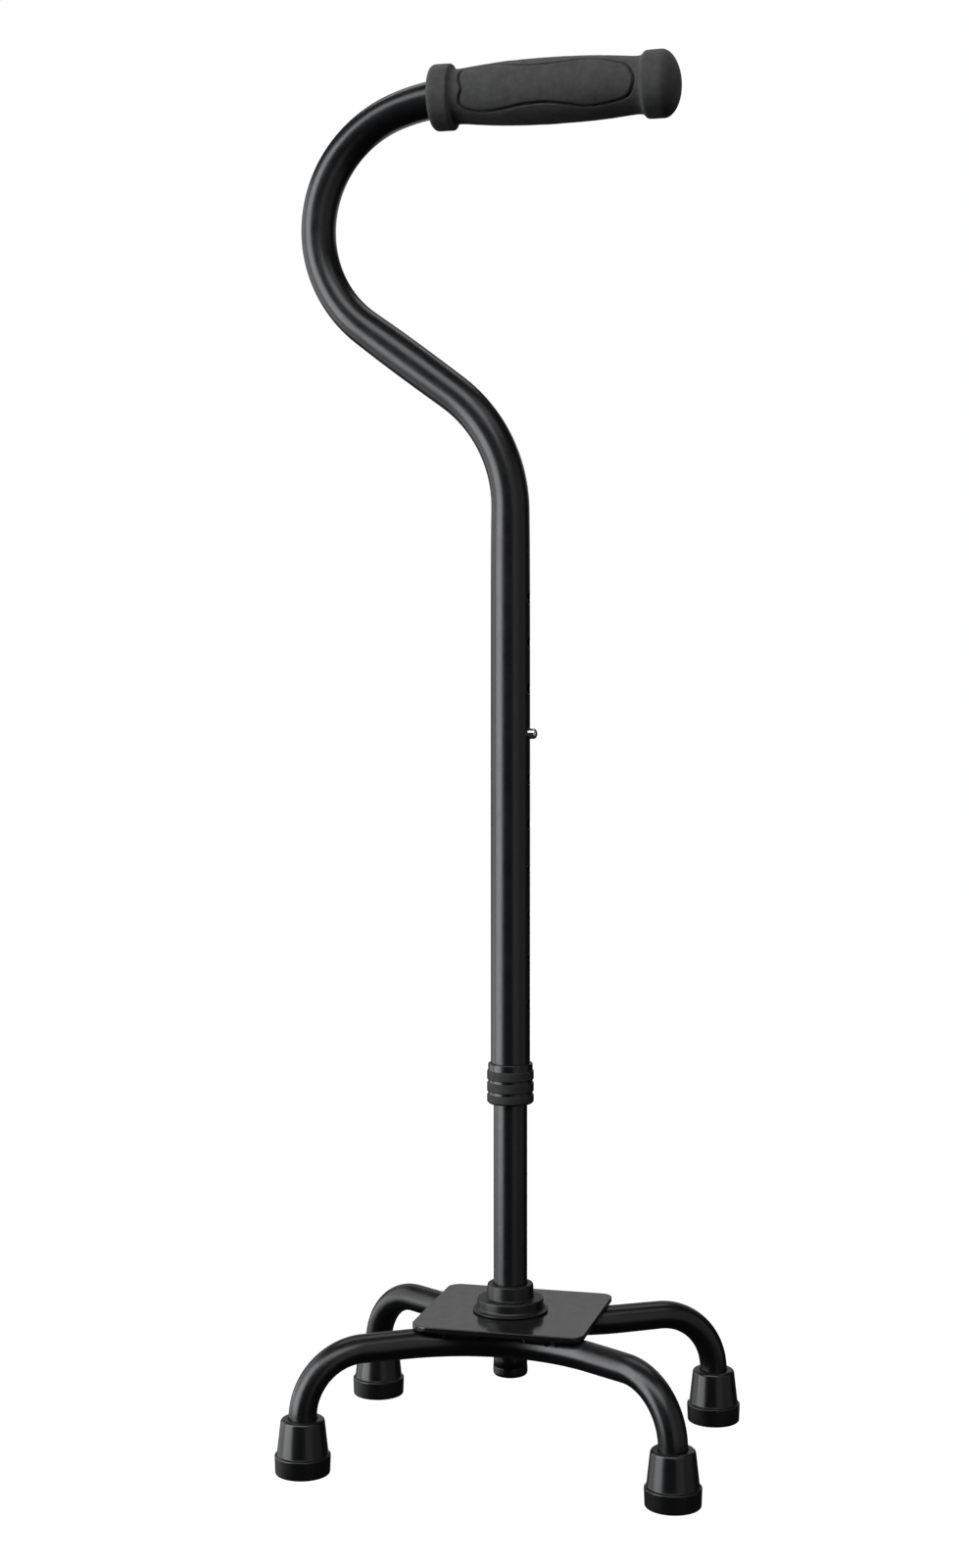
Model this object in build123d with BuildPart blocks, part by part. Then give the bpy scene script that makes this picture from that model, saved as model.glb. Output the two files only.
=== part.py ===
from build123d import *

import os
from math import cos, radians, sin, tan

# Quad walking cane: a gooseneck handle tube slides on a lower shaft, and a sprung button locks
# it at any of a row of holes. The shaft turns in a socket welded through a base plate, which
# stands on two bent leg tubes with four rubber tips.
# Frame: the origin is on the floor under the shaft, +X runs along the hand grip towards its
# domed end, +Y runs from the front legs to the rear legs, and +Z is up. Millimetres.

# Tube stock
upper_od = 22.2
upper_id = 19.2
lower_od = 19.05
lower_id = 16.05
leg_od = 15.9
leg_id = 12.9

# Handle tube: straight shank, back bend, diagonal, gooseneck, slacker last bend, grip run
handle_bottom = 195.5
neck_start = 526.0
low_bend_radius = 83.5
low_bend_angle = 53.4
diagonal_length = 64.0
high_bend_radius = 70.4
last_bend_radius = 106.0
last_bend_angle = 20.0
handle_end_x = 84.0

# Height holes and their snap button
hole_pitch = 25.4
hole_count = 10
rest_hole = 6
hole_radius = 3.2
button_z = 399.7
button_radius = 3.02
button_tip = 15.5
button_dome = 2.0
shoulder_radius = 3.8
shoulder_inner = 5.7
shoulder_outer = 6.5
base_button_z = 61.0

# Leaf springs behind the buttons
leaf_thickness = 0.8
leaf_width = 8.0
leaf_length = 46.0
leaf_tail = 5.0
leaf_wall_gap = 1.8
leaf_bend_x = 1.2
leaf_bend_radius = 1.0

# Hand grip, by distance along X
grip_near_end = -45.3
ring_radius = 18.6
ring_round = 3.0
ring_far_end = -33.0
neck_near = -31.0
neck_radius = 15.3
barrel_top = 25.0
barrel_radius = 18.2
neck_far = 75.5
cap_start = 78.2
cap_radius = 18.7
dome_start = 86.9
dome_depth = 10.2
plug_flange = 2.0
plug_depth = 12.0

# Ribbed collar on the handle tube's lower end
collar_bottom = 191.9
collar_top = 214.5
collar_radius = 12.6
running_bore = 9.6
rib_first_z = 195.8
rib_pitch = 6.7
rib_count = 3
rib_radius = 13.2
rib_height = 5.4
rib_depth = 3.0
rib_round = 1.2
collar_lead_in = 0.9
collar_round = 0.5

# Lower shaft and its end cap
shaft_bottom = 44.5
shaft_top = 420.0
cap_bottom = 39.0
cap_flange_radius = 9.7
cap_stem_top = 54.0
cap_round = 2.0
cap_lead_in = 0.8

# Base plate, socket and boot
plate_x = 97.4
plate_y = 92.4
plate_shift_x = 1.3
plate_shift_y = 1.45
plate_thickness = 3.0
plate_corner = 7.0
plate_edge = 0.6
plate_bottom = 72.0
plate_top = plate_bottom + plate_thickness
socket_bottom = 50.0
socket_top = 86.0
boot_lip_radius = 21.1
boot_lip_top = 76.2
boot_step_radius = 18.7
boot_step_top = 82.6
boot_radius = 12.9
boot_top = 90.6
boot_edge = 0.8

# Legs
foot_x = 101.5
foot_y = 71.0
base_shift_x = 3.3
base_shift_y = -2.5
leg_z = plate_bottom - leg_od / 2
leg_plan_radius = 95.0
leg_plan_angle = 33.0
leg_drop_radius = 34.0
leg_end_z = 8.0

# Rubber tips and the washers moulded into them
tip_height = 29.6
tip_bottom_radius = 14.9
band_radius = 15.3
band_top = 10.3
cone_radius = 14.0
tip_top_radius = 11.9
tip_bottom_edge = 1.0
tip_top_edge = 2.0
washer_thickness = 1.5
washer_hole = 3.0

# Weld beads
bead_near = 2.5
bead_far = 9.5
bead_depth = 5.1
bead_root = 7.4
bead_start_angle = 7.0
bead_sweep_angle = 16.0
socket_bead = 4.0

button_holes_z = [button_z + hole_pitch * (i - rest_hole) for i in range(hole_count)]
leg_arc_x = leg_plan_radius * sin(radians(leg_plan_angle))
leg_run_y = (foot_x - leg_arc_x) * tan(radians(leg_plan_angle))
leg_arc_y = foot_y - leg_run_y
leg_mid_y = leg_arc_y - leg_plan_radius * (1 - cos(radians(leg_plan_angle)))
leg_axis_y = leg_mid_y + leg_plan_radius
leg_bend_x = foot_x - leg_drop_radius * cos(radians(leg_plan_angle))
leg_bend_y = foot_y - leg_drop_radius * sin(radians(leg_plan_angle))
leg_drop_z = leg_z - leg_drop_radius


def base_point(x, y, z):
    """A point given from the middle of the four feet, which stand off the shaft's axis."""
    return Vector(base_shift_x + x, base_shift_y + y, z)


def side_plane(x, y, z):
    """The upright plane through a point, with local x along X and local y along Z."""
    return Plane((x, y, z), x_dir=(1, 0, 0), z_dir=(0, -1, 0))


def save(shape, name):
    """Label one finished piece and write it as its own STEP file."""
    shape.label = name
    export_step(shape, f"parts/{name}.step")


# Handle tube, with the height holes through its +X wall
with BuildPart() as handle_tube:
    with BuildLine(Plane.XZ) as handle_path:
        shank = Line((0, handle_bottom), (0, neck_start))
        low_bend = JernArc(shank @ 1, shank % 1, low_bend_radius, low_bend_angle)
        diagonal = PolarLine(low_bend @ 1, diagonal_length, direction=low_bend % 1)
        high_bend_angle = 90 + low_bend_angle - last_bend_angle
        high_bend = JernArc(diagonal @ 1, diagonal % 1, high_bend_radius, -high_bend_angle)
        last_bend = JernArc(high_bend @ 1, high_bend % 1, last_bend_radius, -last_bend_angle)
        grip_z = (last_bend @ 1).Z
        Line(last_bend @ 1, Vector(handle_end_x, 0, grip_z))
    with BuildSketch(Plane.XY.offset(handle_bottom)):
        Circle(upper_od / 2)
        Circle(upper_id / 2, mode=Mode.SUBTRACT)
    sweep()
    with BuildSketch(Plane.YZ):
        with Locations(*[(0, z) for z in button_holes_z]):
            Circle(hole_radius)
    extrude(amount=upper_od, mode=Mode.SUBTRACT)
save(handle_tube.part, "handle_tube")

grip_axis = Axis((0, 0, grip_z), (1, 0, 0))
handle_end_plane = Plane((handle_end_x, 0, grip_z), x_dir=(0, 1, 0), z_dir=(1, 0, 0))

# Hand grip: ring, swelling barrel and domed cap, turned about the grip's axis
with BuildPart() as hand_grip:
    with BuildSketch(side_plane(0, 0, grip_z)):
        with BuildLine():
            Polyline(
                (dome_start + dome_depth, 0),
                (grip_near_end, 0),
                (grip_near_end, ring_radius - ring_round),
            )
            RadiusArc(
                (grip_near_end, ring_radius - ring_round),
                (grip_near_end + ring_round, ring_radius),
                ring_round,
            )
            Polyline(
                (grip_near_end + ring_round, ring_radius),
                (ring_far_end, ring_radius),
                (neck_near, neck_radius),
            )
            ThreePointArc((neck_near, neck_radius), (barrel_top, barrel_radius), (neck_far, neck_radius))
            Polyline((neck_far, neck_radius), (cap_start, cap_radius), (dome_start, cap_radius))
            EllipticalCenterArc((dome_start, 0), dome_depth, cap_radius, start_angle=0, arc_size=90)
        make_face()
    revolve(axis=grip_axis)
    with BuildSketch(Plane.XY.offset(handle_bottom)):
        Circle(upper_od / 2)
    sweep(path=handle_path.wire(), mode=Mode.SUBTRACT)
    with BuildSketch(handle_end_plane):
        Circle(upper_od / 2)
    extrude(amount=plug_flange, mode=Mode.SUBTRACT)
save(hand_grip.part, "hand_grip")

# Plug in the tube's cut end, under the foam
with BuildPart() as handle_end_plug:
    with BuildSketch(handle_end_plane):
        Circle(upper_od / 2)
    extrude(amount=plug_flange)
    with BuildSketch(handle_end_plane):
        Circle(upper_id / 2)
    extrude(amount=-plug_depth)
save(handle_end_plug.part, "handle_end_plug")

# Ribbed collar: pressed on the handle tube, running on the shaft below it
with BuildPart() as tube_collar:
    with BuildSketch(Plane.XY.offset(collar_bottom)):
        Circle(collar_radius)
    extrude(amount=collar_top - collar_bottom)
    for i in range(rib_count):
        with BuildSketch(Plane.XZ):
            with Locations((rib_radius - rib_depth / 2, rib_first_z + rib_pitch * i)):
                RectangleRounded(rib_depth, rib_height, rib_round)
        revolve(axis=Axis.Z)
    with BuildSketch(Plane.XY.offset(collar_bottom)):
        Circle(running_bore)
    extrude(amount=collar_top - collar_bottom, mode=Mode.SUBTRACT)
    with BuildSketch(Plane.XY.offset(handle_bottom)):
        Circle(upper_od / 2)
    extrude(amount=collar_top - handle_bottom, mode=Mode.SUBTRACT)
    chamfer(tube_collar.edges().group_by(Axis.Z)[0].sort_by(SortBy.RADIUS)[-1], collar_lead_in)
    fillet(tube_collar.edges().group_by(Axis.Z)[-1].sort_by(SortBy.RADIUS)[-1], collar_round)
save(tube_collar.part, "tube_collar")

# Lower shaft, with one hole for each button
with BuildPart() as lower_shaft:
    with BuildSketch(Plane.XY.offset(shaft_bottom)):
        Circle(lower_od / 2)
        Circle(lower_id / 2, mode=Mode.SUBTRACT)
    extrude(amount=shaft_top - shaft_bottom)
    for z, reach in ((button_z, lower_od), (base_button_z, -lower_od)):
        with BuildSketch(Plane.YZ):
            with Locations((0, z)):
                Circle(hole_radius)
        extrude(amount=reach, mode=Mode.SUBTRACT)
save(lower_shaft.part, "lower_shaft")

with BuildPart() as shaft_end_cap:
    with BuildSketch(Plane.XY.offset(cap_bottom)):
        Circle(cap_flange_radius)
    extrude(amount=shaft_bottom - cap_bottom)
    fillet(shaft_end_cap.edges().group_by(Axis.Z)[0], cap_round)
    with BuildSketch(Plane.XY.offset(shaft_bottom)):
        Circle(lower_id / 2)
    extrude(amount=cap_stem_top - shaft_bottom)
    chamfer(shaft_end_cap.edges().group_by(Axis.Z)[-1], cap_lead_in)
save(shaft_end_cap.part, "shaft_end_cap")

# Snap buttons and their leaf springs. side is the way a button points along X, and up is the
# way its spring's bend lies from it along Z.
button_sites = (
    ("height_button", "height_spring", button_z, 1, -1),
    ("base_button", "base_spring", base_button_z, -1, 1),
)
for button_name, spring_name, z, side, up in button_sites:
    axis = Axis((0, 0, z), (1, 0, 0))
    with BuildPart() as button:
        with BuildSketch(side_plane(0, 0, z)):
            with BuildLine():
                Polyline(
                    (side * button_tip, 0),
                    (side * shoulder_inner, 0),
                    (side * shoulder_inner, shoulder_radius),
                    (side * shoulder_outer, shoulder_radius),
                    (side * shoulder_outer, button_radius),
                    (side * (button_tip - button_dome), button_radius),
                )
                RadiusArc(
                    (side * (button_tip - button_dome), button_radius),
                    (side * button_tip, 0),
                    side * (button_radius**2 + button_dome**2) / (2 * button_dome),
                )
            make_face()
        revolve(axis=axis)
    save(button.part, button_name)

    front_x = side * (shoulder_inner - leaf_thickness / 2)
    back_x = -side * (lower_id / 2 - leaf_wall_gap)
    bend_z = z + up * leaf_length
    with BuildPart() as spring:
        with BuildSketch(Plane.XZ):
            with BuildLine():
                FilletPolyline(
                    (front_x, z - up * leaf_tail),
                    (front_x, z + up * leaf_tail),
                    (side * leaf_bend_x, bend_z),
                    (-side * leaf_bend_x, bend_z),
                    (back_x, z + up * leaf_tail),
                    (back_x, z - up * leaf_tail),
                    radius=leaf_bend_radius,
                )
            trace(line_width=leaf_thickness)
        extrude(amount=leaf_width / 2, both=True)
    save(spring.part, spring_name)

# Base plate, with the hole that the socket is welded into
with BuildPart() as base_plate:
    with BuildSketch(Plane.XY.offset(plate_bottom)):
        with Locations((plate_shift_x, plate_shift_y)):
            RectangleRounded(plate_x, plate_y, plate_corner)
        Circle(upper_od / 2, mode=Mode.SUBTRACT)
    extrude(amount=plate_thickness)
    fillet(base_plate.faces().sort_by(Axis.Z)[-1].outer_wire().edges(), plate_edge)
save(base_plate.part, "base_plate")

# Socket tube, with a button hole on each side so that the base locks either way round
with BuildPart() as socket_tube:
    with BuildSketch(Plane.XY.offset(socket_bottom)):
        Circle(upper_od / 2)
        Circle(upper_id / 2, mode=Mode.SUBTRACT)
    extrude(amount=socket_top - socket_bottom)
    with BuildSketch(Plane.YZ):
        with Locations((0, base_button_z)):
            Circle(hole_radius)
    extrude(amount=upper_od, both=True, mode=Mode.SUBTRACT)
save(socket_tube.part, "socket_tube")

with BuildPart() as socket_weld:
    with BuildSketch(Plane.XZ):
        with BuildLine():
            Polyline(
                (upper_od / 2, plate_bottom),
                (upper_od / 2 + socket_bead, plate_bottom),
                (upper_od / 2, plate_bottom - socket_bead),
                close=True,
            )
        make_face()
    revolve(axis=Axis.Z)
save(socket_weld.part, "socket_weld")

# Stepped boot over the socket's top
with BuildPart() as socket_boot:
    with BuildSketch(Plane.XZ):
        with BuildLine():
            Polyline(
                (upper_od / 2, plate_top),
                (boot_lip_radius, plate_top),
                (boot_lip_radius, boot_lip_top),
                (boot_step_radius, boot_lip_top),
                (boot_step_radius, boot_step_top),
                (boot_radius, boot_step_top),
                (boot_radius, boot_top),
                (running_bore + boot_edge, boot_top),
                (running_bore, boot_top - boot_edge),
                (running_bore, socket_top),
                (upper_od / 2, socket_top),
                close=True,
            )
        make_face()
    revolve(axis=Axis.Z)
    outer_steps = socket_boot.edges().filter_by(GeomType.CIRCLE).group_by(SortBy.RADIUS)
    fillet([e for e in outer_steps[-2] if e.center().Z > boot_lip_top + 1], boot_edge)
    fillet(socket_boot.edges().group_by(Axis.Z)[-1].sort_by(SortBy.RADIUS)[-1], boot_edge)
save(socket_boot.part, "socket_boot")

# Leg tubes, welds, tips and washers: one set in front (-Y) and one behind (+Y)
for row, way in (("front", -1), ("rear", 1)):
    left_end = base_point(-foot_x, way * foot_y, leg_end_z)
    left_drop = base_point(-foot_x, way * foot_y, leg_drop_z)
    right_drop = base_point(foot_x, way * foot_y, leg_drop_z)
    left_bend = base_point(-leg_bend_x, way * leg_bend_y, leg_z)
    right_bend = base_point(leg_bend_x, way * leg_bend_y, leg_z)
    left_arc = base_point(-leg_arc_x, way * leg_arc_y, leg_z)
    right_arc = base_point(leg_arc_x, way * leg_arc_y, leg_z)
    with BuildPart() as leg_tube:
        with BuildLine() as leg_path:
            Line(left_end, left_drop)
            TangentArc(left_drop, left_bend, tangent=(0, 0, 1))
            Line(left_bend, left_arc)
            ThreePointArc(left_arc, base_point(0, way * leg_mid_y, leg_z), right_arc)
            Line(right_arc, right_bend)
            TangentArc(right_drop, right_bend, tangent=(0, 0, 1))
            Line(right_drop, base_point(foot_x, way * foot_y, leg_end_z))
        with BuildSketch(Plane(left_end)):
            Circle(leg_od / 2)
            Circle(leg_id / 2, mode=Mode.SUBTRACT)
        sweep()
    save(leg_tube.part, f"{row}_leg_tube")

    # Beads along both sides of the tube, where it meets the plate
    arc_centre = base_point(0, way * leg_axis_y, 0)
    with BuildPart() as leg_weld:
        for edge in (-1, 1):
            for turn in (-1, 1):
                start = turn * bead_start_angle
                section_plane = Plane(
                    arc_centre,
                    x_dir=Vector(0, -way, 0).rotate(Axis.Z, start),
                    z_dir=Vector(-way, 0, 0).rotate(Axis.Z, start),
                )
                with BuildSketch(section_plane):
                    with BuildLine():
                        Polyline(
                            (leg_plan_radius + edge * bead_near, plate_bottom),
                            (leg_plan_radius + edge * bead_far, plate_bottom),
                            (leg_plan_radius + edge * bead_root, plate_bottom - bead_depth),
                            close=True,
                        )
                    make_face()
                revolve(axis=Axis(arc_centre, (0, 0, 1)), revolution_arc=turn * bead_sweep_angle)
        with BuildSketch(Plane(left_end)):
            Circle(leg_od / 2)
        sweep(path=leg_path.wire(), mode=Mode.SUBTRACT)
    save(leg_weld.part, f"{row}_leg_weld")

    for end, side in (("left", -1), ("right", 1)):
        foot = base_point(side * foot_x, way * foot_y, 0)
        washer_plane = Plane(foot + Vector(0, 0, leg_end_z - washer_thickness))
        with BuildPart() as tip:
            with BuildSketch(side_plane(foot.X, foot.Y, 0)):
                with BuildLine():
                    Polyline(
                        (0, 0),
                        (tip_bottom_radius, 0),
                        (band_radius, band_top),
                        (cone_radius, band_top),
                        (tip_top_radius, tip_height),
                        (0, tip_height),
                        close=True,
                    )
                make_face()
            revolve(axis=Axis(foot, (0, 0, 1)))
            fillet(tip.edges().group_by(Axis.Z)[0], tip_bottom_edge)
            fillet(tip.edges().group_by(Axis.Z)[-1], tip_top_edge)
            with BuildSketch(washer_plane):
                Circle(leg_od / 2)
            extrude(amount=tip_height, mode=Mode.SUBTRACT)
            with BuildSketch(Plane(left_end)):
                Circle(leg_od / 2)
            sweep(path=leg_path.wire(), mode=Mode.SUBTRACT)
        save(tip.part, f"{row}_{end}_tip")

        with BuildPart() as washer:
            with BuildSketch(washer_plane):
                Circle(leg_od / 2)
                Circle(washer_hole, mode=Mode.SUBTRACT)
            extrude(amount=washer_thickness)
        save(washer.part, f"{row}_{end}_washer")
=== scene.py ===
from math import cos, pi, radians, sin, tan

import bmesh
import bpy
import numpy as np
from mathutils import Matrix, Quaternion, Vector, noise


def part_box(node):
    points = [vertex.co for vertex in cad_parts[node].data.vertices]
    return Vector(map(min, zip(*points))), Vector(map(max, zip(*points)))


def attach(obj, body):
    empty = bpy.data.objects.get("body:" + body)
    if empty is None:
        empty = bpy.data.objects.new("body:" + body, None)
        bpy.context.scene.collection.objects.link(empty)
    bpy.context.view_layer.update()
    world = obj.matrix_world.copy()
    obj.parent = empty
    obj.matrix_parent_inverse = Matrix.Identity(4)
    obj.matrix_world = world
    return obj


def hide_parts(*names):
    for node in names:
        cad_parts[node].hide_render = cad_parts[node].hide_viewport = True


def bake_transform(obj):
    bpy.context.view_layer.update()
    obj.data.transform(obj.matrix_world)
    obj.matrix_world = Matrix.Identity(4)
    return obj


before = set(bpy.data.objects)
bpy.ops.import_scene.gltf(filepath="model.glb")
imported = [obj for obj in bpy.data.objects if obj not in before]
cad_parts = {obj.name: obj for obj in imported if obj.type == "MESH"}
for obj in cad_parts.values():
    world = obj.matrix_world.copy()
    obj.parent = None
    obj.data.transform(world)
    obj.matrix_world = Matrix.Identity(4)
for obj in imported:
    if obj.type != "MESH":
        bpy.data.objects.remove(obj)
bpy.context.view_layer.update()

scene = bpy.context.scene

# Lengths below are in millimetres, as in the CAD source, unless a name or a comment says metres.
METRES = 0.001
COLUMNS = 64                              # round a tube

# Outer radius and bore of the three tubes
UPPER_R, UPPER_BORE = 11.1, 9.6
LOWER_R, LOWER_BORE = 9.525, 8.025
LEG_R, LEG_BORE = 7.95, 6.45

HANDLE_BOTTOM = 195.5
SHANK_TOP = 484.0                         # end of the drilled length
NECK_START = 526.0                        # start of the first bend
GRIP_Z = 1000 * sum(corner.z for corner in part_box("hand_grip")) / 2
HANDLE_END_X = 84.0
SHAFT_BOTTOM, SHAFT_TOP = 44.5, 420.0

HOLE_R, HOLE_PITCH = 3.2, 25.4
BUTTON_Z = 399.7
HOLES = [BUTTON_Z + HOLE_PITCH * (i - 6) for i in range(10)]
BASE_BUTTON_Z = 61.0

PLATE_BOTTOM, PLATE_TOP = 72.0, 75.0
PLATE_X, PLATE_Y = 1.3, 1.45              # the plate's centre, from the shaft
BASE_X, BASE_Y = 3.3, -2.5                # the middle of the four feet, from the shaft
FOOT_X, FOOT_Y = 101.5, 71.0
LEG_PLAN_R, LEG_PLAN_ANGLE = 95.0, 33.0   # the bend under the plate, seen from above
LEG_DROP_R = 34.0                         # the bend down to each foot
LEG_END_Z = 8.0
LEG_Z = PLATE_BOTTOM - LEG_R

ROWS = (("front", -1), ("rear", 1))       # each leg tube, and its way along Y


# ---------------------------------------------------------------- camera, floor and light

CAMERA_YAW = 14.2
camera_data = bpy.data.cameras.new("camera")
camera_data.lens = 52.34
camera_data.sensor_width = 36.0
camera_data.shift_y = -0.06875
camera_data.dof.use_dof = False
camera_data.clip_start, camera_data.clip_end = 0.05, 60.0
camera = bpy.data.objects.new("camera", camera_data)
camera.location = (0.3008, -1.2483, 0.432)
camera.rotation_euler = (pi / 2, 0, radians(CAMERA_YAW))
scene.collection.objects.link(camera)
scene.camera = camera
scene.view_settings.view_transform = "Standard"


def softbox(name, azimuth, elevation, distance, width, height, radiance, aim_z=0.4,
            tint=(1, 1, 1), only_gloss=False):
    """An area light that faces the shaft at aim_z. Its azimuth is to the left of the camera, as
    seen from the object. only_gloss makes it a card that shows in reflections alone."""
    turn, rise = radians(azimuth - CAMERA_YAW), radians(elevation)
    way = Vector((-sin(turn) * cos(rise), -cos(turn) * cos(rise), sin(rise)))
    data = bpy.data.lights.new(name, "AREA")
    data.shape = "RECTANGLE"
    data.size, data.size_y = width, height
    data.energy = radiance * pi * width * height
    data.color = tint
    lamp = bpy.data.objects.new(name, data)
    lamp.location = Vector((0, 0, aim_z)) + way * distance
    lamp.rotation_mode = "QUATERNION"
    lamp.rotation_quaternion = way.to_track_quat("Z", "Y")
    lamp.visible_camera = False
    lamp.visible_diffuse = not only_gloss
    scene.collection.objects.link(lamp)


COOL, COOLER = (0.97, 0.98, 1.0), (0.95, 0.985, 1.0)
softbox("key", 71, 0, 1.6, 1.2, 1.0, 5.4, aim_z=1.25, tint=COOLER)
softbox("key_low", 71, 0, 1.6, 1.2, 1.05, 5.8, aim_z=0.225, tint=COOLER, only_gloss=True)
softbox("fill_near", -30, 4, 1.9, 1.25, 1.9, 0.5, only_gloss=True)
softbox("fill_far", -74, 4, 1.9, 1.6, 1.9, 0.27, only_gloss=True)
softbox("rear", 116, 6, 1.9, 1.35, 1.8, 1.3)
softbox("low_side", 108, -26, 1.05, 0.9, 0.5, 0.9, only_gloss=True)
softbox("top", 18, 46, 2.0, 2.4, 0.9, 4.0, tint=COOL)
softbox("top_side", -50, 50, 2.0, 1.1, 0.6, 1.2)
# The plate's top mirrors this one towards the camera; the next two stay out of its mirror angle
softbox("back", 180, 23, 2.3, 3.4, 0.85, 0.5, aim_z=0.075)
softbox("behind_low", 180, -16, 2.6, 1.7, 0.8, 1.0, aim_z=0.4, only_gloss=True)
softbox("behind_high", 180, 58, 2.4, 2.4, 0.9, 1.7, aim_z=0.6)

# Plain white to the camera and dim to everything else
world = bpy.data.worlds.new("studio")
scene.world = world
world.use_nodes = True
nodes, links = world.node_tree.nodes, world.node_tree.links
nodes.clear()
output = nodes.new("ShaderNodeOutputWorld")
seen = nodes.new("ShaderNodeLightPath")
dim = nodes.new("ShaderNodeBackground")
dim.inputs["Color"].default_value = (0.5, 0.5, 0.52, 1)
dim.inputs["Strength"].default_value = 0.05
pale = nodes.new("ShaderNodeBackground")
pale.inputs["Strength"].default_value = 1.0
pale.inputs["Color"].default_value = (1, 1, 1, 1)
choose = nodes.new("ShaderNodeMixShader")
links.new(seen.outputs["Is Camera Ray"], choose.inputs["Fac"])
links.new(dim.outputs[0], choose.inputs[1])
links.new(pale.outputs[0], choose.inputs[2])
links.new(choose.outputs[0], output.inputs["Surface"])

# A pale floor that glows, so that it reads as white, and stays out of the reflections
floor_mesh = bpy.data.meshes.new("floor")
bm = bmesh.new()
bmesh.ops.create_circle(bm, cap_ends=True, radius=14.0, segments=96)
bm.to_mesh(floor_mesh)
bm.free()
floor = bpy.data.objects.new("floor", floor_mesh)
floor.visible_glossy = False
floor.visible_diffuse = False
scene.collection.objects.link(floor)
floor_paint = bpy.data.materials.new("floor_paint")
floor_paint.use_nodes = True
nodes, links = floor_paint.node_tree.nodes, floor_paint.node_tree.links
nodes.clear()
output = nodes.new("ShaderNodeOutputMaterial")
lit = nodes.new("ShaderNodeBsdfDiffuse")
lit.inputs["Color"].default_value = (0.14, 0.14, 0.14, 1)
glow = nodes.new("ShaderNodeEmission")
glow.inputs["Color"].default_value = (1, 1, 1, 1)
glow.inputs["Strength"].default_value = 0.992
both = nodes.new("ShaderNodeAddShader")
links.new(lit.outputs[0], both.inputs[0])
links.new(glow.outputs[0], both.inputs[1])
links.new(both.outputs[0], output.inputs["Surface"])
floor_mesh.materials.append(floor_paint)


# ---------------------------------------------------------------- materials


def surface(name, colours, roughness, mottle, grains, stretch=(1, 1, 1), **sockets):
    """A procedural material. Colour and roughness each drift between two values over a noise of
    mottle features per metre, and grains are (features per metre, height in metres) of relief."""
    material = bpy.data.materials.new(name)
    material.use_nodes = True
    nodes, links = material.node_tree.nodes, material.node_tree.links
    principled = nodes["Principled BSDF"]
    for socket, value in sockets.items():
        principled.inputs[socket.replace("_", " ")].default_value = value
    place = nodes.new("ShaderNodeTexCoord")
    scaled = nodes.new("ShaderNodeMapping")
    scaled.inputs["Scale"].default_value = stretch
    links.new(place.outputs["Object"], scaled.inputs["Vector"])

    def pattern(scale, detail=3.0):
        node = nodes.new("ShaderNodeTexNoise")
        node.inputs["Scale"].default_value = scale
        node.inputs["Detail"].default_value = detail
        links.new(scaled.outputs[0], node.inputs["Vector"])
        return node.outputs["Fac"]

    def spread(source, low, high, start=0.3, end=0.7):
        node = nodes.new("ShaderNodeMapRange")
        node.inputs["From Min"].default_value = start
        node.inputs["From Max"].default_value = end
        node.inputs["To Min"].default_value = low
        node.inputs["To Max"].default_value = high
        links.new(source, node.inputs["Value"])
        return node.outputs[0]

    tint = nodes.new("ShaderNodeMix")
    tint.data_type = "RGBA"
    tint.inputs[6].default_value = (*colours[0], 1)
    tint.inputs[7].default_value = (*colours[1], 1)
    links.new(spread(pattern(mottle, 5.0), 0, 1), tint.inputs[0])
    links.new(tint.outputs[2], principled.inputs["Base Color"])
    links.new(spread(pattern(mottle * 2.3), *roughness), principled.inputs["Roughness"])
    normal = None
    for scale, height in grains:
        bump = nodes.new("ShaderNodeBump")
        bump.inputs["Distance"].default_value = height
        links.new(pattern(scale), bump.inputs["Height"])
        if normal:
            links.new(normal, bump.inputs["Normal"])
        normal = bump.outputs[0]
    if normal:
        links.new(normal, principled.inputs["Normal"])
    return material


tube_paint = surface(
    "tube_paint", ((0.0035, 0.0035, 0.004), (0.006, 0.006, 0.0068)), (0.27, 0.33), 60,
    ((260, 0.00001), (1900, 0.0000025)), IOR=1.5)
plate_paint = surface(
    "plate_paint", ((0.008, 0.008, 0.0083), (0.012, 0.012, 0.0123)), (0.14, 0.18), 70,
    ((700, 0.000006), (2400, 0.000004)), IOR=1.5)
weld_paint = surface(
    "weld_paint", ((0.008, 0.008, 0.008), (0.02, 0.02, 0.02)), (0.28, 0.45), 180,
    ((600, 0.00012), (2000, 0.00004)), IOR=1.5)
grip_foam = surface(
    "grip_foam", ((0.035, 0.0345, 0.034), (0.051, 0.050, 0.049)), (0.80, 0.95), 160,
    ((350, 0.00010), (1500, 0.00011), (3800, 0.00006)), IOR=1.45, Sheen_Weight=0.08,
    Sheen_Roughness=0.5)
tip_rubber = surface(
    "tip_rubber", ((0.004, 0.004, 0.004), (0.007, 0.007, 0.007)), (0.275, 0.305), 50,
    ((300, 0.000005), (2000, 0.0000015)), IOR=1.5)
black_plastic = surface(
    "black_plastic", ((0.004, 0.004, 0.004), (0.007, 0.007, 0.007)), (0.265, 0.30), 50,
    ((700, 0.000006), (2400, 0.0000015)), IOR=1.5)
boot_rubber = surface(
    "boot_rubber", ((0.006, 0.006, 0.006), (0.010, 0.010, 0.010)), (0.34, 0.38), 50,
    ((700, 0.000006), (2400, 0.0000015)), IOR=1.42)
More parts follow.
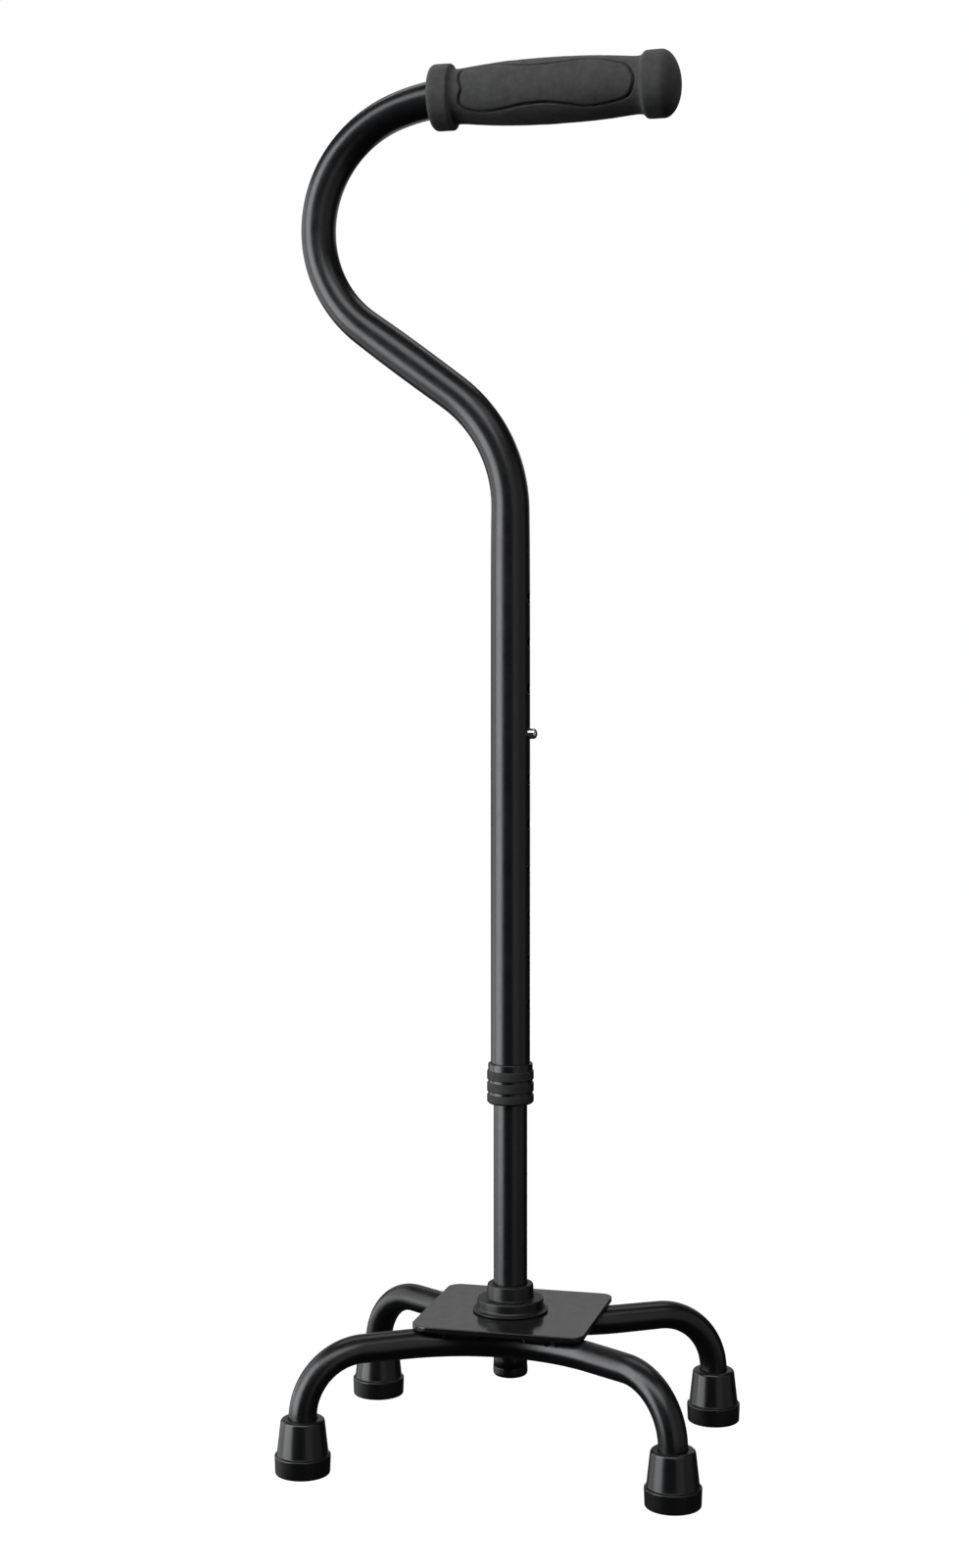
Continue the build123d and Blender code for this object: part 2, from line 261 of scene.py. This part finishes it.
rib_rubber = surface(
    "rib_rubber", ((0.020, 0.020, 0.019), (0.030, 0.030, 0.029)), (0.62, 0.80), 240,
    ((600, 0.00005), (1800, 0.00004)), IOR=1.42)
button_steel = surface(
    "button_steel", ((0.66, 0.65, 0.62), (0.78, 0.77, 0.75)), (0.12, 0.24), 500,
    ((2500, 0.00001),), Metallic=1.0)
spring_steel = surface(
    "spring_steel", ((0.30, 0.31, 0.34), (0.42, 0.42, 0.44)), (0.25, 0.4), 200,
    ((1500, 0.00002),), stretch=(1, 1, 6), Metallic=1.0)
washer_steel = surface(
    "washer_steel", ((0.45, 0.45, 0.45), (0.58, 0.58, 0.57)), (0.3, 0.45), 250,
    ((1500, 0.00002),), Metallic=1.0)


# ---------------------------------------------------------------- mesh helpers


def piece(name, points, faces, material, body, slot, *replaced):
    """A smooth mesh from points in millimetres, riding on a body in place of CAD nodes."""
    mesh = bpy.data.meshes.new(name)
    mesh.from_pydata((np.asarray(points, float) * METRES).tolist(), [], faces)
    bm = bmesh.new()
    bm.from_mesh(mesh)
    bmesh.ops.remove_doubles(bm, verts=bm.verts, dist=2e-7)
    bmesh.ops.recalc_face_normals(bm, faces=bm.faces)
    bm.to_mesh(mesh)
    bm.free()
    mesh.shade_smooth()
    mesh.materials.append(material)
    obj = bpy.data.objects.new(name, mesh)
    scene.collection.objects.link(obj)
    even = obj.modifiers.new("even_normals", "WEIGHTED_NORMAL")
    even.keep_sharp = True
    if body:
        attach(obj, body)
    if replaced:
        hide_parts(*replaced)
    return obj


def quads(rows, columns, first=0, skip=()):
    """The faces between rings of points, each ring closed on itself."""
    faces = []
    for i in range(rows - 1):
        for j in range(columns):
            if (i, j) not in skip:
                a, b = first + i * columns + j, first + i * columns + (j + 1) % columns
                faces.append((a, b, b + columns, a + columns))
    return faces


def join(*shells):
    """Several (points, faces) as one."""
    points, faces, count = [], [], 0
    for shell_points, shell_faces in shells:
        points.append(np.asarray(shell_points, float).reshape(-1, 3))
        faces += [tuple(count + v for v in face) for face in shell_faces]
        count += len(points[-1])
    return np.concatenate(points), faces


def rounded(corners, segments=5):
    """A closed outline from (a, b, radius) corners, each turned by an arc."""
    outline = []
    for i, (a, b, radius) in enumerate(corners):
        here = np.array((a, b))
        to_last = np.array(corners[i - 1][:2]) - here
        to_next = np.array(corners[(i + 1) % len(corners)][:2]) - here
        if radius == 0:
            outline.append(here)
            continue
        to_last, to_next = to_last / np.linalg.norm(to_last), to_next / np.linalg.norm(to_next)
        half = np.arccos(np.clip(to_last @ to_next, -1, 1)) / 2
        middle = (to_last + to_next) / np.linalg.norm(to_last + to_next)
        centre = here + middle * radius / sin(half)
        first = here + to_last * radius / tan(half) - centre
        last = here + to_next * radius / tan(half) - centre
        sweep = pi - 2 * half
        for k in range(segments + 1):
            t = k / segments
            outline.append(centre + (sin((1 - t) * sweep) * first + sin(t * sweep) * last) / sin(sweep))
    return np.array(outline)


def turned(outline, centre=(0, 0, 0), axis="Z", columns=96, bunch=0.0):
    """A closed outline of (radius, height) turned about an upright axis or one along X. bunch
    draws the columns together at the four diagonals."""
    outline = np.vstack([outline, outline[:1]])
    angle = 2 * pi * np.arange(columns) / columns
    angle += bunch / 4 * np.sin(4 * angle)
    r, h = outline[:, :1], np.repeat(outline[:, 1:], columns, 1)
    across, up = r * np.cos(angle), r * np.sin(angle)
    rings = np.stack([across, up, h] if axis == "Z" else [h, across, up], -1)
    return rings.reshape(-1, 3) + np.array(centre), quads(len(outline), columns)


def route(start, heading, normal, moves, step=3.0):
    """Follows straights (length, flattening) and bends (radius, degrees, axis, flattening), and
    returns the points, the frames along them, and a smoothed flattening of the tube."""
    place, heading, normal = Vector(start), Vector(heading), Vector(normal)
    rows = [(place.copy(), heading.copy(), normal.copy(), moves[0][-1])]
    for move in moves:
        if len(move) == 2:
            length, flat = move
            count = max(2, round(length / step))
            for _ in range(count):
                place = place + heading * (length / count)
                rows.append((place.copy(), heading.copy(), normal.copy(), flat))
        else:
            radius, degrees, axis, flat = move
            axis = Vector(axis).normalized()
            count = max(3, round(degrees / 2.5))
            spin = Quaternion(axis, radians(degrees) / count)
            for _ in range(count):
                centre = place + axis.cross(heading) * radius
                place = centre + spin @ (place - centre)
                heading, normal = spin @ heading, spin @ normal
                rows.append((place.copy(), heading.copy(), normal.copy(), flat))
    points, headings, normals = (np.array([r[i] for r in rows]) for i in range(3))
    flats = np.array([r[3] for r in rows])
    along = np.r_[0, np.cumsum(np.linalg.norm(np.diff(points, axis=0), axis=1))]
    weight = np.exp(-(((along[:, None] - along[None]) / 24.0) ** 2))
    weight *= np.gradient(along)[None]
    return points, headings, normals, (weight @ flats) / weight.sum(1)


def skin(path, radius, columns=COLUMNS):
    """The rings of a tube's outer or inner surface: a bend narrows it in its own plane."""
    points, headings, normals, flats = path
    sides = np.cross(headings, normals)
    angle = 2 * pi * np.arange(columns) / columns
    rings = points[:, None] + (radius - flats)[:, None, None] * np.cos(angle)[:, None] * normals[:, None]
    return rings + (radius + 0.6 * flats)[:, None, None] * np.sin(angle)[:, None] * sides[:, None]


def ends(outer, inner):
    """The flat rings that close a tube's two cut ends."""
    shells = []
    for row in (0, -1):
        shells.append((np.stack([outer[row], inner[row]]).reshape(-1, 3), quads(2, len(outer[0]))))
    return shells


def skins(path, radius, bore):
    """Both surfaces of a bent tube."""
    outer, inner = skin(path, radius), skin(path, bore)
    shells = [(s.reshape(-1, 3), quads(len(s), COLUMNS)) for s in (outer, inner)]
    return shells, outer, inner


def drilled(bottom, top, radius, bore, holes):
    """An upright tube wall with round, softly rimmed holes. holes are (height, column of 64)."""
    half = 4
    pitch = 2 * pi * radius / COLUMNS
    levels = {bottom, top}
    for z, _ in holes:
        levels |= {round(z + k * pitch, 6) for k in range(-half, half + 1)}
    levels = sorted(levels)
    filled = []
    for low, high in zip(levels, levels[1:]):
        count = max(1, round((high - low) / 5.0))
        filled += [low + (high - low) * k / count for k in range(count)]
    levels = np.array(filled + [top])
    angle = 2 * pi * np.arange(COLUMNS) / COLUMNS
    skip, blocks = set(), []
    for z, column in holes:
        row = int(np.argmin(np.abs(levels - z)))
        blocks.append((z, column, row))
        skip |= {(row + i, (column + j) % COLUMNS) for i in range(-half, half) for j in range(-half, half)}
    shells, surfaces = [], []
    for r in (radius, bore):
        rings = np.stack(np.broadcast_arrays(r * np.cos(angle), r * np.sin(angle), levels[:, None]), -1)
        shells.append((rings.reshape(-1, 3), quads(len(levels), COLUMNS, skip=skip)))
        surfaces.append(rings)
    edge = [(half, k) for k in range(half)] + [(half - k, half) for k in range(2 * half)]
    edge += [(-half, half - k) for k in range(2 * half)] + [(k - half, -half) for k in range(2 * half)]
    edge += [(half, k - half) for k in range(half)]
    turn = 2 * pi * np.arange(len(edge)) / len(edge)
    rim = ((0.55, 0.0), (0.34, 0.015), (0.18, 0.07), (0.07, 0.17), (0.01, 0.33), (0.0, 0.55))
    for z, column, row in blocks:
        lean = 2 * pi * column / COLUMNS

        def ring(rho, depth):
            r = radius - depth
            bearing = lean + np.arcsin(rho * np.cos(turn) / r)
            return np.stack([r * np.cos(bearing), r * np.sin(bearing), z + rho * np.sin(turn)], -1)

        def square(r):
            bearing = np.array([lean + 2 * pi * j / COLUMNS for j, _ in edge])
            height = np.array([levels[row + k] for _, k in edge])
            return np.stack([r * np.cos(bearing), r * np.sin(bearing), height], -1)

        rings = [square(radius)] + [ring(HOLE_R + gap, depth) for gap, depth in rim]
        rings += [ring(HOLE_R, radius - bore), square(bore)]
        shells.append((np.concatenate(rings), quads(len(rings), len(edge))))
    return shells, surfaces[0], surfaces[1]


# ---------------------------------------------------------------- tubes

shank, shank_outer, shank_inner = drilled(
    HANDLE_BOTTOM, SHANK_TOP, UPPER_R, UPPER_BORE, [(z, 0) for z in HOLES])
NECK = ((NECK_START - SHANK_TOP, 0.0), (83.5, 53.4, (0, -1, 0), 0.7), (64.0, 0.15),
        (70.4, 123.4, (0, 1, 0), 1.35), (106.0, 20.0, (0, 1, 0), 0.5))


def neck_route(*more):
    return route((0, 0, SHANK_TOP), (0, 0, 1), (1, 0, 0), (*NECK, *more))


bend_end_x = neck_route()[0][-1][0]
neck_path = neck_route((HANDLE_END_X - bend_end_x, 0.0))
neck_path[3][0] = 0
neck, neck_outer, neck_inner = skins(neck_path, UPPER_R, UPPER_BORE)
piece("gooseneck_tube", *join(
    *shank, *neck, ends(shank_outer, shank_inner)[0], ends(neck_outer, neck_inner)[1]),
    tube_paint, "handle", "tube_paint", "handle_tube")

shaft, shaft_outer, shaft_inner = drilled(
    SHAFT_BOTTOM, SHAFT_TOP, LOWER_R, LOWER_BORE, [(BUTTON_Z, 0), (BASE_BUTTON_Z, COLUMNS // 2)])
piece("sliding_shaft", *join(*shaft, *ends(shaft_outer, shaft_inner)),
      tube_paint, "shaft", "tube_paint", "lower_shaft")

UP = Vector((0, 0, 1))
LEAN = radians(LEG_PLAN_ANGLE)
leg_drop = LEG_Z - LEG_DROP_R - LEG_END_Z
leg_run = (FOOT_X - LEG_DROP_R * cos(LEAN) - LEG_PLAN_R * sin(LEAN)) / cos(LEAN)
for row, way in ROWS:
    inward = Vector((cos(LEAN), -way * sin(LEAN), 0))
    outward = Vector((cos(LEAN), way * sin(LEAN), 0))
    leg_path = route(
        (BASE_X - FOOT_X, BASE_Y + way * FOOT_Y, LEG_END_Z), UP, inward,
        ((leg_drop, 0.0), (LEG_DROP_R, 90, UP.cross(inward), 0.45), (leg_run, 0.0),
         (LEG_PLAN_R, 2 * LEG_PLAN_ANGLE, (0, 0, way), 0.0), (leg_run, 0.0),
         (LEG_DROP_R, 90, UP.cross(outward), 0.45), (leg_drop, 0.0)))
    shells, outer, inner = skins(leg_path, LEG_R, LEG_BORE)
    piece(f"{row}_leg", *join(*shells, *ends(outer, inner)),
          tube_paint, "base", "tube_paint", f"{row}_leg_tube")


# ---------------------------------------------------------------- turned parts

# Each outline below is (radius, height, rounding) for its corners.
RIB_Z, RIB_PITCH, RIB_R, RIB_HALF = 194.45, 6.7, 13.2, 2.4
GROOVE_R, GROOVE_HALF = 12.6, 2.55
COLLAR_BOTTOM, COLLAR_TOP = 191.9, 214.5
collar = [(UPPER_BORE, HANDLE_BOTTOM, 0.1), (UPPER_BORE, COLLAR_BOTTOM, 0.3),
          (12.2, COLLAR_BOTTOM, 0.3), (RIB_R, COLLAR_BOTTOM + 1.0, 0.6)]
for z in (RIB_Z, RIB_Z + RIB_PITCH, RIB_Z + 2 * RIB_PITCH):
    if z > RIB_Z:
        collar += [(GROOVE_R, z - GROOVE_HALF, 0.15), (RIB_R, z - RIB_HALF, 0.4)]
    collar += [(RIB_R, z + RIB_HALF, 0.4), (GROOVE_R, z + GROOVE_HALF, 0.15)]
collar += [(GROOVE_R, COLLAR_TOP, 0.7), (UPPER_R, COLLAR_TOP, 0.2), (UPPER_R, HANDLE_BOTTOM, 0)]
sleeve = piece("ribbed_sleeve", *turned(rounded(collar)), black_plastic,
               "handle", "black_plastic", "tube_collar")
sleeve.data.materials.append(rib_rubber)
for face in sleeve.data.polygons:
    face.material_index = int(np.hypot(*face.center[:2]) > (RIB_R - 0.35) * METRES)

boot = [(UPPER_R, PLATE_TOP, 0), (19.4, PLATE_TOP, 0.1), (19.7, 75.5, 0.15), (21.1, 75.55, 0.15),
        (21.1, 76.3, 0.35), (19.5, 76.8, 0.5), (18.75, 77.7, 0.8), (18.6, 82.6, 1.1),
        (13.3, 82.6, 0.7), (12.9, 90.6, 1.0), (9.6, 90.6, 0.6), (9.6, 86.0, 0), (UPPER_R, 86.0, 0)]
piece("stepped_boot", *turned(rounded(boot)), boot_rubber, "base", "black_plastic", "socket_boot")

cap = [(0, 39.0, 0), (9.7, 39.0, 2.0), (9.7, SHAFT_BOTTOM, 0.3), (8.0, SHAFT_BOTTOM, 0),
       (8.0, 54.0, 0.8), (0, 54.0, 0)]
piece("shaft_cap", *turned(rounded(cap)), black_plastic, "shaft", "black_plastic", "shaft_end_cap")

tip = [(0, 6.5, 0), (0, 1.2, 0), (4.0, 1.2, 0.3), (4.0, 0, 0.3), (6.6, 0, 0.3), (6.6, 1.2, 0.3),
       (8.6, 1.2, 0.3), (8.6, 0, 0.3), (11.2, 0, 0.3), (11.2, 1.2, 0.3), (13.0, 1.2, 0.3),
       (13.0, 0, 0.3), (14.9, 0, 0.9), (15.3, 10.0, 0.7), (14.0, 10.9, 0.5), (11.9, 29.6, 1.9),
       (LEG_R, 29.6, 0.5), (LEG_R, 6.5, 0)]
for row, way in ROWS:
    for end, side in (("left", -1), ("right", 1)):
        centre = (BASE_X + side * FOOT_X, BASE_Y + way * FOOT_Y, 0)
        piece(f"{row}_{end}_ferrule", *turned(rounded(tip), centre),
              tip_rubber, "base", "tip_rubber", f"{row}_{end}_tip")

BUTTON_R, DOME_START, DOME_HEIGHT = 3.02, 13.5, 2.0
SHOULDER_R, SHOULDER_INNER, SHOULDER_OUTER = 3.8, 5.7, 6.5
for name, z, side in (("height_button", BUTTON_Z, 1), ("base_button", BASE_BUTTON_Z, -1)):
    outline = [(BUTTON_R * sin(a), DOME_START + DOME_HEIGHT * cos(a)) for a in np.linspace(0, pi / 2, 12)]
    outline += [(BUTTON_R, 6.7), (3.1, SHOULDER_OUTER), (SHOULDER_R, SHOULDER_OUTER),
                (SHOULDER_R, SHOULDER_INNER), (0, SHOULDER_INNER)]
    outline = np.array(outline)
    outline[:, 1] *= side
    piece(f"{name}_stud", *turned(outline, (0, 0, z), "X", 48), button_steel, name, "button_steel", name)


# ---------------------------------------------------------------- plate and welds


def plate():
    """The rounded plate, as rings from the socket's hole out over the top, round and back."""
    half_x, half_y = 48.7, 46.2
    steps = 13                            # points round a corner
    outline = []
    for sx, sy, start, corner in ((1, 1, 0, 7.0), (-1, 1, 90, 7.5), (-1, -1, 180, 11.5), (1, -1, 270, 7.0)):
        for k in range(steps):
            a = radians(start + 7.5 * k)
            x, y = sx * (half_x - corner) + corner * cos(a), sy * (half_y - corner) + corner * sin(a)
            outline.append((x + PLATE_X, y + PLATE_Y, cos(a), sin(a)))
    full = []
    for i, (x, y, nx, ny) in enumerate(outline):
        full.append((x, y, nx, ny))
        if i % steps == steps - 1:
            px, py = outline[(i + 1) % len(outline)][:2]
            full += [(x + (px - x) * t, y + (py - y) * t, nx, ny) for t in np.arange(1, 20) / 20]
    full = np.array(full)

    def ring(inset, z):
        return np.stack([full[:, 0] - full[:, 2] * inset, full[:, 1] - full[:, 3] * inset,
                         np.full(len(full), z)], -1)

    def hole(z):
        out = ring(0, z)[:, :2]
        out = out / np.linalg.norm(out, axis=1)[:, None] * UPPER_R
        return np.column_stack([out, np.full(len(out), z)])

    def between(a, b, count):
        return [a + (b - a) * k / count for k in range(1, count)]

    # How far each ring of the rounded edge is inset, and its height
    edge = [(0.6, PLATE_TOP), (0.37, PLATE_TOP - 0.05), (0.18, PLATE_TOP - 0.18),
            (0.05, PLATE_TOP - 0.37), (0, PLATE_TOP - 0.6), (0, 73.5), (0, PLATE_BOTTOM + 0.35),
            (0.1, PLATE_BOTTOM + 0.1), (0.35, PLATE_BOTTOM)]
    rings = [hole(PLATE_TOP)] + between(hole(PLATE_TOP), ring(0.6, PLATE_TOP), 14)
    rings += [ring(*e) for e in edge]
    rings += between(ring(0.35, PLATE_BOTTOM), hole(PLATE_BOTTOM), 14) + [hole(PLATE_BOTTOM)]
    rings.append(hole(PLATE_TOP))
    return np.concatenate(rings), quads(len(rings), len(full))


piece("steel_plate", *plate(), plate_paint, "base", "plate_paint", "base_plate")


def bead(centre, section, start, sweep, closed=False):
    """A rough weld bead about an upright axis. section is (radius, height) round a closed loop,
    and its first point is the root that the lumps and the ends draw back to."""
    section = np.array(section, float)
    joined = np.vstack([section, section[:1]])
    section = np.concatenate([joined[:-1], (joined[:-1] + joined[1:]) / 2], 1).reshape(-1, 2)
    root = section[:1]
    length = abs(sweep) * radians(1) * section[:, 0].mean()
    count = max(24, int(length / 0.3))
    rings = []
    for i in range(count if closed else count + 1):
        angle = radians(start + sweep * i / count)
        along = length * i / count
        end = 1.0 if closed else min(1.0, ((min(along, length - along) + 0.02) / 3.0)) ** 0.5
        spot = Vector((cos(angle), sin(angle), 0))
        swell = 0.9 + 0.25 * noise.noise(spot * section[0, 0] / 3.6)
        shape = root + (section - root) * end * swell
        for k, (a, b) in enumerate(shape):
            place = Vector((centre[0] + a * cos(angle), centre[1] + a * sin(angle), b))
            lump = 0.7 * noise.noise(place / 4.2) + 0.35 * noise.noise(place / 1.2)
            away = shape[k] - root[0]
            shape[k] += away / (np.linalg.norm(away) + 0.5) * lump * min(1.0, end)
        shape[:, 1] = np.minimum(shape[:, 1], PLATE_BOTTOM)
        rings.append(np.stack([centre[0] + shape[:, 0] * cos(angle),
                               centre[1] + shape[:, 0] * sin(angle), shape[:, 1]], -1))
    if closed:
        rings.append(rings[0])
    faces = quads(len(rings), len(section))
    if not closed:
        last = (len(rings) - 1) * len(section)
        faces += [tuple(range(len(section))), tuple(range(last, last + len(section)))]
    return np.concatenate(rings), faces


LEG_WAIST_Y = 23.36                       # the leg tube's nearest point to the middle of the feet
# Each bead's section: how far it is from the leg tube's centre line, and its height
LEG_BEAD = ((5.6, 70.6), (4.2, 72.0), (7.0, 72.0), (9.4, 72.0), (9.5, 71.1), (9.0, 69.4),
            (8.3, 67.8), (7.5, 66.9), (6.6, 67.6), (5.8, 69.0))
SOCKET_BEAD = ((12.4, 70.7), (10.9, 72.0), (13.0, 72.0), (15.0, 72.0), (15.0, 71.4), (14.1, 70.0),
               (12.9, 68.8), (11.6, 68.0), (10.9, 68.0), (10.9, 70.0))
for row, way in ROWS:
    centre = (BASE_X, BASE_Y + way * (LEG_PLAN_R + LEG_WAIST_Y))
    shells = []
    for edge in (-1, 1):
        section = [(LEG_PLAN_R + edge * a, b) for a, b in LEG_BEAD]
        for turn in (-1, 1):
            shells.append(bead(centre, section, -way * 90 + turn * 7.0, turn * 16.0))
    piece(f"{row}_weld_beads", *join(*shells), weld_paint, "base", "weld_paint", f"{row}_leg_weld")

piece("socket_weld_bead", *bead((0, 0), SOCKET_BEAD, 0, 360, closed=True),
      weld_paint, "base", "weld_paint", "socket_weld")


# ---------------------------------------------------------------- leaf springs

LEAF_THICKNESS, LEAF_WIDTH, LEAF_LENGTH, LEAF_TAIL = 0.8, 8.0, 46.0, 5.0
LEAF_FRONT, LEAF_BACK, LEAF_BEND = 5.3, 6.225, 1.2


def leaf_spring(name, z, side, up, replaced):
    """A strip bent double inside the shaft."""
    half = LEAF_THICKNESS / 2
    turn_z = z + up * LEAF_LENGTH

    def strip(across, beyond, radius):
        return [(side * (LEAF_FRONT + across), z - up * LEAF_TAIL, 0),
                (side * (LEAF_FRONT + across), z + up * LEAF_TAIL, 1.0),
                (side * (LEAF_BEND + across), turn_z + up * beyond, radius),
                (-side * (LEAF_BEND + across), turn_z + up * beyond, radius),
                (-side * (LEAF_BACK + across), z + up * LEAF_TAIL, 1.0),
                (-side * (LEAF_BACK + across), z - up * LEAF_TAIL, 0)]

    outline = rounded(strip(half, half, 1.4) + strip(-half, -half, 0.6)[::-1])
    edge = LEAF_WIDTH / 2
    rings = [np.stack([outline[:, 0], np.full(len(outline), y), outline[:, 1]], -1)
             for y in (-edge, edge)]
    count = len(outline)
    faces = quads(2, count)
    points = np.concatenate(rings)
    for first in (0, count):
        for i in range(count // 2 - 1):
            faces.append((first + i, first + i + 1, first + count - 2 - i, first + count - 1 - i))
    obj = piece(name, points, faces, spring_steel, None, "spring_steel", replaced)
    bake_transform(obj)


leaf_spring("height_leaf_spring", BUTTON_Z, 1, -1, "height_spring")
leaf_spring("base_leaf_spring", BASE_BUTTON_Z, -1, 1, "base_spring")


# ---------------------------------------------------------------- soft grip


def smooth_loop(points, count, closed=True):
    """A Catmull-Rom curve through points."""
    points = np.array(points, float)
    n = len(points)
    t = np.linspace(0, n if closed else n - 1, count, endpoint=not closed)
    i = np.minimum(t.astype(int), n - 1 if closed else n - 2)
    f = (t - i)[:, None]
    if closed:
        a, b, c, d = (points[(i + k) % n] for k in (-1, 0, 1, 2))
    else:
        a, b, c, d = (points[np.clip(i + k, 0, n - 1)] for k in (-1, 0, 1, 2))
    return 0.5 * (2 * b + (c - a) * f + (2 * a - 5 * b + 4 * c - d) * f**2 + (3 * b - a - 3 * c + d) * f**3)


RING_START, CAP_START = -45.3, 86.9
# The sleeve's side between its end ring and its cap, and the groove round the moulded pad: each
# is a rounded line through a few points
BARREL = [(18.6, -39.0), (18.6, -35.0), (18.55, -34.0), (18.1, -33.2), (17.0, -32.85), (16.0, -32.55),
          (15.45, -31.8), (15.35, -30.2), (15.5, -26.5), (16.3, -19.0), (17.5, -5.0), (18.1, 8.0),
          (18.3, 22.0), (18.05, 40.0), (17.3, 55.0), (16.4, 65.0), (15.85, 71.5), (15.95, 74.6),
          (16.4, 76.0), (17.5, 77.0), (18.35, 78.0), (18.65, 79.5), (18.7, 83.0)]
PAD = [(-23.5, 12.5), (-14, 13.8), (-5, 14), (5, 12.5), (15, 11.5), (26, 11.8), (36, 12.6),
       (45, 13.6), (55, 12.4), (63, 10.5), (69, 8.2), (72.5, 2.5), (72.8, -3), (69.5, -9),
       (60, -11.7), (47, -13), (36, -11.7), (24, -10.2), (11, -10.5), (0, -11.8), (-11, -12.4),
       (-20, -11.2), (-25.8, -8.6), (-26.3, -4.5), (-25, 0.5), (-26.6, 6), (-26.5, 10.5)]
PAD_FROM_X, PAD_TO_X, PAD_MEAN_R = -31, 76, 17.5
PAD_RISE, PAD_SHOULDER = 0.4, 1.8
GROOVE_DEPTH, GROOVE_WIDTH = 2.6, 0.72
BARREL_ROWS, GRIP_COLUMNS = 430, 288


def barrel_curve():
    """(radius, along X), evenly spaced."""
    curve = smooth_loop(BARREL, 2400, closed=False)
    reach = np.r_[0, np.cumsum(np.linalg.norm(np.diff(curve, axis=0), axis=1))]
    even = np.linspace(0, reach[-1], BARREL_ROWS)
    return np.stack([np.interp(even, reach, curve[:, i]) for i in (0, 1)], -1)


def carve_pad(points, curve):
    """Raises the pad on the front and back of the sleeve and sinks the groove round it."""
    loop = smooth_loop(PAD, 240)
    radius = np.interp(loop[:, 0], curve[:, 1], curve[:, 0])
    loop[:, 1] = PAD_MEAN_R * np.arcsin(np.clip(loop[:, 1] / radius, -1, 1))
    r = np.hypot(points[:, 1], points[:, 2])
    outer_face = (r > 14.5) & (points[:, 0] > PAD_FROM_X) & (points[:, 0] < PAD_TO_X)
    for facing in (-1, 1):
        at = np.where(outer_face & (points[:, 1] * facing > 0))[0]
        unrolled = PAD_MEAN_R * np.arcsin(np.clip(points[at, 2] / r[at], -1, 1))
        flat = np.stack([points[at, 0], unrolled], -1)
        nearest = np.full(len(at), 1e9)
        inside = np.zeros(len(at), bool)
        for p, q in zip(loop, np.roll(loop, -1, 0)):
            d = q - p
            t = np.clip(((flat - p) @ d) / (d @ d), 0, 1)
            nearest = np.minimum(nearest, np.linalg.norm(flat - p - t[:, None] * d, axis=1))
            crosses = (p[1] > flat[:, 1]) != (q[1] > flat[:, 1])
            if abs(d[1]) > 1e-9:
                inside ^= crosses & (flat[:, 0] < p[0] + (flat[:, 1] - p[1]) * d[0] / d[1])
        rise = np.where(inside, PAD_RISE * np.clip(nearest / PAD_SHOULDER, 0, 1), 0)
        rise = rise - GROOVE_DEPTH * np.exp(-((nearest / GROOVE_WIDTH) ** 4))
        points[at, 1:] *= (1 + rise / r[at])[:, None]
    return r


near = [(UPPER_R, RING_START), (15.0, RING_START)]
near += [(15.4 + 3.2 * sin(a), RING_START + 3.2 - 3.2 * cos(a)) for a in np.linspace(0.15, pi / 2, 8)]
curve = barrel_curve()
dome = [(18.7 * cos(a), CAP_START + 10.2 * sin(a)) for a in np.linspace(0, pi / 2, 40)]
tube_seat = [(0, HANDLE_END_X + 2.0), (UPPER_R, HANDLE_END_X + 2.0)]
outline = np.vstack([near, curve, dome, tube_seat])
points, faces = turned(outline, (0, 0, 0), "X", GRIP_COLUMNS, bunch=0.45)
r = carve_pad(points, curve)
for i in np.where(r > UPPER_R + 0.2)[0]:
    place = Vector(points[i])
    lump = 0.10 * noise.noise(place / 9.0) + 0.05 * noise.noise(place / 3.0)
    points[i, 1:] *= 1 + lump / max(r[i], 3.0)
points[:, 2] += GRIP_Z
grip = piece("foam_sleeve", points, faces, grip_foam, "handle", "grip_rubber", "hand_grip")


# ---------------------------------------------------------------- CAD nodes that stay

kept = {"handle_end_plug": black_plastic, "socket_tube": tube_paint}
kept |= {f"{row}_{end}_washer": washer_steel for row, _ in ROWS for end in ("left", "right")}
for node, material in kept.items():
    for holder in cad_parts[node].material_slots:
        holder.material = material
